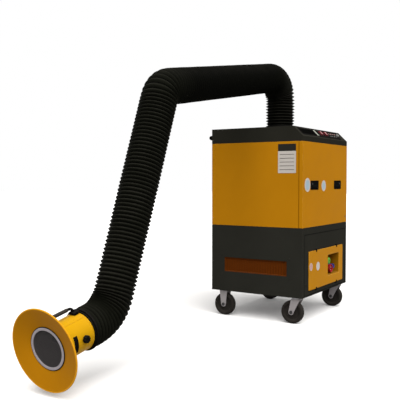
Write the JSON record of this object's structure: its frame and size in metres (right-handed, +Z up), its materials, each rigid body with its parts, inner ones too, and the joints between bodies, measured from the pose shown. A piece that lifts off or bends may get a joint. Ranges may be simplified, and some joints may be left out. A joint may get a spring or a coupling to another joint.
{
  "type": "mobile welding fume extractor",
  "caption": "Castor cabinet with filter and fan, and a swivelling ribbed hose arm that ends in a dished hood",
  "frame": {"origin": "on the floor, below the middle of the cabinet", "axes": "-Y is the filter door's side, +Z is up, and the hose arm reaches to -X"},
  "size_m": [2.2252, 0.6278, 1.4296],
  "materials": {
    "aluminium": "satin",
    "black_plastic": "satin",
    "dark_paint": "satin",
    "filter_paper": "matte",
    "glass": "gloss",
    "green_plastic": "gloss",
    "grey_plate": "satin",
    "hose_fabric": "matte",
    "orange_paint": "satin",
    "red_plastic": "gloss",
    "rubber": "matte",
    "steel": "satin",
    "yellow_paint": "gloss",
    "zinc": "satin"
  },
  "bodies": {
    "cabinet": {"air_coupling": "green_plastic", "base_shell": "dark_paint", "body_shell": "yellow_paint", "console_display": "glass", "console_plate": "grey_plate", "control_box": "grey_plate", "control_panel": "yellow_paint", "deck_plate": "steel", "dust_tray": "zinc", "fan_housing": "steel", "fan_motor": "dark_paint", "filter_cap": "zinc", "filter_cartridge": "filter_paper", "floor_plate": "steel", "front_cover": "dark_paint", "front_left_swivel_head": "zinc", "front_right_swivel_head": "zinc", "outlet_grille_left": "orange_paint", "outlet_grille_right": "orange_paint", "power_inlet": "red_plastic", "push_handle": "black_plastic", "rear_left_axle": "zinc", "rear_left_fork": "zinc", "rear_right_axle": "zinc", "rear_right_fork": "zinc", "top_cap": "dark_paint", "turntable_ring": "dark_paint"},
    "arm_base": {"swivel_collar": "black_plastic", "post_hose": "hose_fabric", "shoulder_hose": "hose_fabric"},
    "upper_arm": {"upper_link": "zinc", "upper_hose": "hose_fabric", "elbow_hose": "hose_fabric"},
    "lower_arm": {"lower_link": "zinc", "lower_hose": "hose_fabric", "hood_bend_hose": "hose_fabric"},
    "hood_neck": {"hood_cuff": "black_plastic"},
    "hood": {"hood_shell": "yellow_paint", "throat_ring": "aluminium", "hood_mesh": "steel", "hood_handle": "black_plastic"},
    "damper": {"damper_flap": "black_plastic"},
    "fan_wheel": {"impeller": "aluminium"},
    "start_button": {"button_start": "red_plastic"},
    "stop_button": {"button_stop": "red_plastic"},
    "door": {"filter_door": "yellow_paint", "latch_tray_left": "black_plastic", "latch_tray_right": "black_plastic"},
    "left_latch": {"latch_paddle_left": "black_plastic"},
    "right_latch": {"latch_paddle_right": "black_plastic"},
    "front_left_castor": {"front_left_fork": "zinc", "front_left_axle": "zinc"},
    "front_left_roller": {"front_left_wheel": "rubber"},
    "rear_left_roller": {"rear_left_wheel": "rubber"},
    "front_right_castor": {"front_right_fork": "zinc", "front_right_axle": "zinc"},
    "front_right_roller": {"front_right_wheel": "rubber"},
    "rear_right_roller": {"rear_right_wheel": "rubber"}
  },
  "joints": [
    {"name": "arm_swivel", "type": "hinge", "parent": "cabinet", "child": "arm_base", "pos_m": [0, 0.01, 1.3726], "axis": [0, 0, 1], "continuous": true},
    {"name": "shoulder_tilt", "type": "hinge", "parent": "arm_base", "child": "upper_arm", "pos_m": [-0.04255, 0.01, 1.32225], "axis": [0, 1, 0], "range_deg": [0, 60], "deforming": ["shoulder_hose"]},
    {"name": "elbow_tilt", "type": "hinge", "parent": "upper_arm", "child": "lower_arm", "pos_m": [-1.16364, 0.01, 1.16371], "axis": [0, 1, 0], "range_deg": [-38, 50], "deforming": ["elbow_hose"]},
    {"name": "hood_tilt", "type": "hinge", "parent": "lower_arm", "child": "hood_neck", "pos_m": [-1.54163, 0.01, 0.25904], "axis": [0, 1, 0], "range_deg": [-50, 30], "deforming": ["hood_bend_hose"]},
    {"name": "hood_turn", "type": "hinge", "parent": "hood_neck", "child": "hood", "pos_m": [-1.87032, 0.01, 0.17457], "axis": [0.9816, 0, 0.1908], "continuous": true},
    {"name": "damper_turn", "type": "hinge", "parent": "hood", "child": "damper", "pos_m": [-1.7378, 0.01, 0.20033], "axis": [0, 1, 0], "range_deg": [0, 90]},
    {"name": "fan_spin", "type": "hinge", "parent": "cabinet", "child": "fan_wheel", "pos_m": [0, 0, 0.4318], "axis": [0, 0, 1], "continuous": true},
    {"name": "door_lift_off", "type": "slide", "parent": "cabinet", "child": "door", "axis": [0, -1, 0], "range_m": [0, 0.08]},
    {"name": "start_press", "type": "slide", "parent": "cabinet", "child": "start_button", "axis": [0, 0.7006, -0.7136], "range_m": [0, 0.003], "stiffness_N_per_m": 400, "springref_m": -0.002},
    {"name": "stop_press", "type": "slide", "parent": "cabinet", "child": "stop_button", "axis": [0, 0.7006, -0.7136], "range_m": [0, 0.003], "stiffness_N_per_m": 400, "springref_m": -0.002},
    {"name": "left_latch_turn", "type": "hinge", "parent": "door", "child": "left_latch", "pos_m": [-0.17, -0.2795, 0.7585], "axis": [-1, 0, 0], "range_deg": [0, 40], "stiffness_Nm_per_rad": 0.3, "springref_deg": -11.46},
    {"name": "right_latch_turn", "type": "hinge", "parent": "door", "child": "right_latch", "pos_m": [0.17, -0.2795, 0.7585], "axis": [-1, 0, 0], "range_deg": [0, 40], "stiffness_Nm_per_rad": 0.3, "springref_deg": -11.46},
    {"name": "front_left_castor_swivel", "type": "hinge", "parent": "cabinet", "child": "front_left_castor", "pos_m": [-0.285, -0.233, 0.134], "axis": [0, 0, 1], "continuous": true},
    {"name": "front_left_wheel_roll", "type": "hinge", "parent": "front_left_castor", "child": "front_left_roller", "pos_m": [-0.285, -0.207, 0.0625], "axis": [1, 0, 0], "continuous": true},
    {"name": "rear_left_wheel_roll", "type": "hinge", "parent": "cabinet", "child": "rear_left_roller", "pos_m": [-0.285, 0.214, 0.0625], "axis": [1, 0, 0], "continuous": true},
    {"name": "front_right_castor_swivel", "type": "hinge", "parent": "cabinet", "child": "front_right_castor", "pos_m": [0.285, -0.233, 0.134], "axis": [0, 0, 1], "continuous": true},
    {"name": "front_right_wheel_roll", "type": "hinge", "parent": "front_right_castor", "child": "front_right_roller", "pos_m": [0.285, -0.207, 0.0625], "axis": [1, 0, 0], "continuous": true},
    {"name": "rear_right_wheel_roll", "type": "hinge", "parent": "cabinet", "child": "rear_right_roller", "pos_m": [0.285, 0.214, 0.0625], "axis": [1, 0, 0], "continuous": true}
  ]
}
